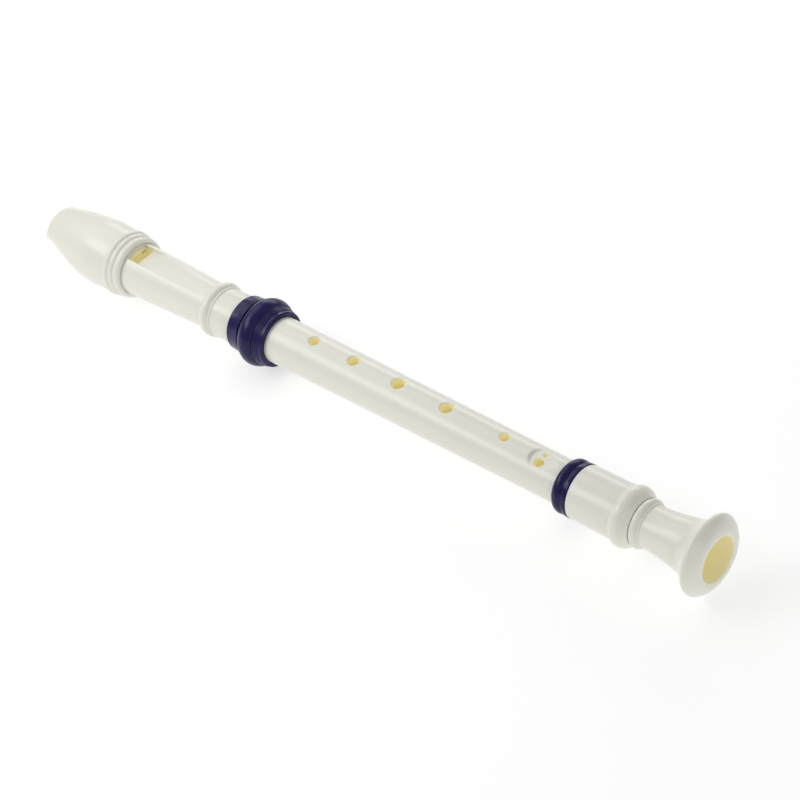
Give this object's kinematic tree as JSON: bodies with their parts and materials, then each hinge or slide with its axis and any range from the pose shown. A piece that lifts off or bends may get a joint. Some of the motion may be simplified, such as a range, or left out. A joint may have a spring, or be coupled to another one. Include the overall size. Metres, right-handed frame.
{
  "type": "soprano recorder",
  "caption": "Three-joint soprano recorder in moulded plastic: beaked head with windway and window, fingered middle tube, and a belled foot; joints pull and turn.",
  "frame": {"origin": "centre of the bottom of the recorder's box, below the middle of its length", "axes": "+X from the beak to the bell along the bore, +Z out through the finger holes"},
  "size_m": [0.33, 0.031, 0.031],
  "materials": {
    "ivory_plastic": "glossy moulded ABS",
    "block_plastic": "smooth moulded ABS",
    "navy_plastic": "glossy moulded ABS"
  },
  "bodies": {
    "middle": {"middle_tube": "ivory_plastic"},
    "head_ring": {"head_collar": "navy_plastic"},
    "head": {"beak_cap": "ivory_plastic", "windway_block": "block_plastic", "head_tube": "ivory_plastic"},
    "foot_band": {"foot_ring": "navy_plastic"},
    "foot": {"foot_sleeve": "ivory_plastic", "bell": "ivory_plastic"}
  },
  "joints": [
    {"name": "head_pull", "type": "slide", "parent": "middle", "child": "head_ring", "axis": [-1, 0, 0], "range_m": [0, 0.022]},
    {"name": "head_turn", "type": "hinge", "parent": "head_ring", "child": "head", "pos_m": [-0.051, 0, 0.0155], "axis": [1, 0, 0], "continuous": true},
    {"name": "foot_pull", "type": "slide", "parent": "middle", "child": "foot_band", "axis": [1, 0, 0], "range_m": [0, 0.018]},
    {"name": "foot_turn", "type": "hinge", "parent": "foot_band", "child": "foot", "pos_m": [0.103, 0, 0.0155], "axis": [1, 0, 0], "continuous": true}
  ]
}
